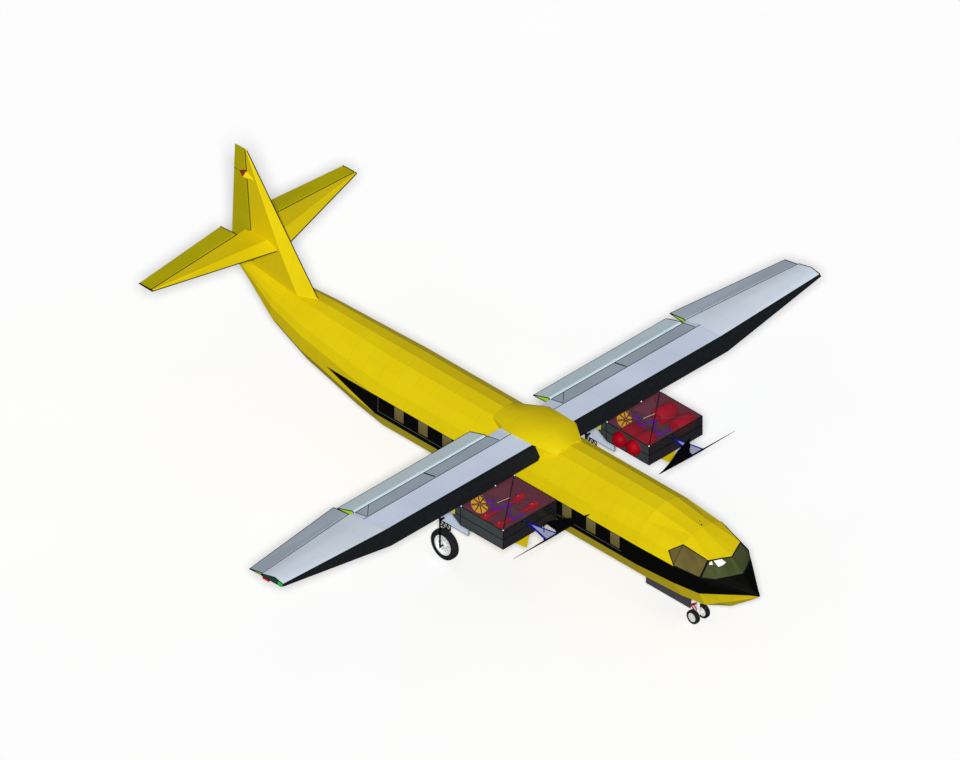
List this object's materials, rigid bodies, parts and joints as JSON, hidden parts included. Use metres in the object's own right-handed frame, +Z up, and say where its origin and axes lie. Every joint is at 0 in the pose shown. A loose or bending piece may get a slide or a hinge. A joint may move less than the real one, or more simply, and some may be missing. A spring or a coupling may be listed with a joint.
{
  "type": "piston regional airliner",
  "caption": "High-wing regional airliner with piston engines in nacelles under the wing, a faceted fuselage, hinged control surfaces and wheeled landing gear.",
  "frame": {"origin": "on the ground under the middle of the bounding box, at mid length and mid span", "axes": "+X is the aircraft's left, +Y is aft, so the nose points along -Y, and +Z is up"},
  "size_m": [17.72, 17.36, 5.96],
  "materials": {
    "black_boot": "matt black de-icing boot",
    "black_paint": "semi-gloss black paint",
    "blue_paint": "semi-gloss blue paint",
    "charcoal_paint": "satin charcoal paint",
    "engine_metal": "grey lacquered metal",
    "green_lens": "clear green lens",
    "grey_blue_paint": "satin blue-grey paint",
    "maroon_cover": "smoked maroon see-through cover",
    "olive_paint": "semi-gloss olive paint",
    "pale_blue_paint": "satin pale blue-grey paint",
    "red_paint": "semi-gloss red paint",
    "smoked_glass": "smoked olive glazing",
    "tyre_rubber": "matt black rubber",
    "white_paint": "gloss white paint",
    "yellow_paint": "semi-gloss yellow paint"
  },
  "bodies": {
    "airframe": {"beacon": "red_paint", "cabin_section": "yellow_paint", "engine_left": "red_paint", "engine_right": "red_paint", "fin": "yellow_paint", "firewall_left": "yellow_paint", "firewall_right": "yellow_paint", "gear_fairing_left": "pale_blue_paint", "gear_fairing_right": "pale_blue_paint", "instrument_panel": "charcoal_paint", "leading_edge_left": "black_boot", "leading_edge_right": "black_boot", "main_leg_left": "black_paint", "main_leg_right": "black_paint", "nacelle_cover_left": "maroon_cover", "nacelle_cover_right": "maroon_cover", "nacelle_keel_left": "yellow_paint", "nacelle_keel_right": "yellow_paint", "nacelle_left": "charcoal_paint", "nacelle_right": "charcoal_paint", "nose_leg": "white_paint", "nose_section": "yellow_paint", "pilot_seats": "engine_metal", "side_window_left": "smoked_glass", "side_window_right": "smoked_glass", "tail_cone": "yellow_paint", "tailplane_left": "yellow_paint", "tailplane_right": "yellow_paint", "tip_lamp_left": "red_paint", "tip_lamp_right": "green_lens", "windscreen": "smoked_glass", "wing_fairing": "yellow_paint", "wing_left": "pale_blue_paint", "wing_right": "pale_blue_paint"},
    "propeller_left": {"propeller_left": "black_paint", "propeller_frame_left": "blue_paint"},
    "main_wheel_left": {"main_tyre_left": "tyre_rubber", "main_rim_left": "white_paint"},
    "flap_left": {"flap_left": "pale_blue_paint"},
    "spoiler_left": {"spoiler_left": "grey_blue_paint"},
    "aileron_left": {"aileron_left": "grey_blue_paint"},
    "elevator_left": {"elevator_left": "olive_paint"},
    "nose_door_left": {"nose_door_left": "charcoal_paint"},
    "propeller_right": {"propeller_right": "black_paint", "propeller_frame_right": "blue_paint"},
    "main_wheel_right": {"main_tyre_right": "tyre_rubber", "main_rim_right": "white_paint"},
    "flap_right": {"flap_right": "pale_blue_paint"},
    "spoiler_right": {"spoiler_right": "grey_blue_paint"},
    "aileron_right": {"aileron_right": "grey_blue_paint"},
    "elevator_right": {"elevator_right": "olive_paint"},
    "nose_door_right": {"nose_door_right": "charcoal_paint"},
    "rudder": {"rudder": "olive_paint"},
    "nose_fork": {"nose_fork": "white_paint"},
    "nose_wheels": {"nose_axle": "white_paint", "nose_tyre_left": "tyre_rubber", "nose_tyre_right": "tyre_rubber"}
  },
  "joints": [
    {"name": "propeller_left", "type": "hinge", "parent": "airframe", "child": "propeller_left", "pos_m": [2.4, -4.243, 2.36], "axis": [0, 1, 0], "continuous": true},
    {"name": "main_wheel_left", "type": "hinge", "parent": "airframe", "child": "main_wheel_left", "pos_m": [2.4, -0.73, 0.4], "axis": [1, 0, 0], "continuous": true},
    {"name": "propeller_right", "type": "hinge", "parent": "airframe", "child": "propeller_right", "pos_m": [-2.4, -4.243, 2.36], "axis": [0, 1, 0], "continuous": true},
    {"name": "main_wheel_right", "type": "hinge", "parent": "airframe", "child": "main_wheel_right", "pos_m": [-2.4, -0.73, 0.4], "axis": [1, 0, 0], "continuous": true},
    {"name": "nose_steering", "type": "hinge", "parent": "airframe", "child": "nose_fork", "pos_m": [0, -6.67, 0.56], "axis": [0, 0, 1], "range_deg": [-45, 45]},
    {"name": "nose_wheels", "type": "hinge", "parent": "nose_fork", "child": "nose_wheels", "pos_m": [0, -6.67, 0.18], "axis": [1, 0, 0], "continuous": true},
    {"name": "flap_left", "type": "hinge", "parent": "airframe", "child": "flap_left", "pos_m": [1.05, -0.685, 2.74], "axis": [1, 0, 0], "range_deg": [-25, 10]},
    {"name": "aileron_left", "type": "hinge", "parent": "airframe", "child": "aileron_left", "pos_m": [5.54, -0.645, 2.745], "axis": [0.989, -0.1365, 0.0576], "range_deg": [-20, 20]},
    {"name": "elevator_left", "type": "hinge", "parent": "airframe", "child": "elevator_left", "pos_m": [0.4, 8.18, 3.75], "axis": [0.9986, -0.0525, 0], "range_deg": [-15, 25]},
    {"name": "spoiler_left", "type": "hinge", "parent": "airframe", "child": "spoiler_left", "pos_m": [3.14, -1.19, 2.9078], "axis": [1, 0, 0], "range_deg": [0, 45]},
    {"name": "nose_door_left", "type": "hinge", "parent": "airframe", "child": "nose_door_left", "pos_m": [0.2797, -5.98, 0.92], "axis": [0, 1, 0], "range_deg": [0, 28]},
    {"name": "flap_right", "type": "hinge", "parent": "airframe", "child": "flap_right", "pos_m": [-1.05, -0.685, 2.74], "axis": [1, 0, 0], "range_deg": [-25, 10]},
    {"name": "aileron_right", "type": "hinge", "parent": "airframe", "child": "aileron_right", "pos_m": [-5.54, -0.645, 2.745], "axis": [0.989, 0.1365, -0.0576], "range_deg": [-20, 20]},
    {"name": "elevator_right", "type": "hinge", "parent": "airframe", "child": "elevator_right", "pos_m": [-0.4, 8.18, 3.75], "axis": [0.9986, 0.0525, 0], "range_deg": [-15, 25]},
    {"name": "spoiler_right", "type": "hinge", "parent": "airframe", "child": "spoiler_right", "pos_m": [-3.14, -1.19, 2.9078], "axis": [1, 0, 0], "range_deg": [0, 45]},
    {"name": "nose_door_right", "type": "hinge", "parent": "airframe", "child": "nose_door_right", "pos_m": [-0.2797, -5.98, 0.92], "axis": [0, -1, 0], "range_deg": [0, 28]},
    {"name": "rudder", "type": "hinge", "parent": "airframe", "child": "rudder", "pos_m": [0, 7.98, 2.96], "axis": [0, 0.0913, 0.9958], "range_deg": [-25, 25]}
  ],
  "couplings": [
    {"joint": "flap_right", "follows": "flap_left", "ratio": 1},
    {"joint": "aileron_right", "follows": "aileron_left", "ratio": -1},
    {"joint": "elevator_right", "follows": "elevator_left", "ratio": 1},
    {"joint": "nose_door_right", "follows": "nose_door_left", "ratio": 1}
  ]
}
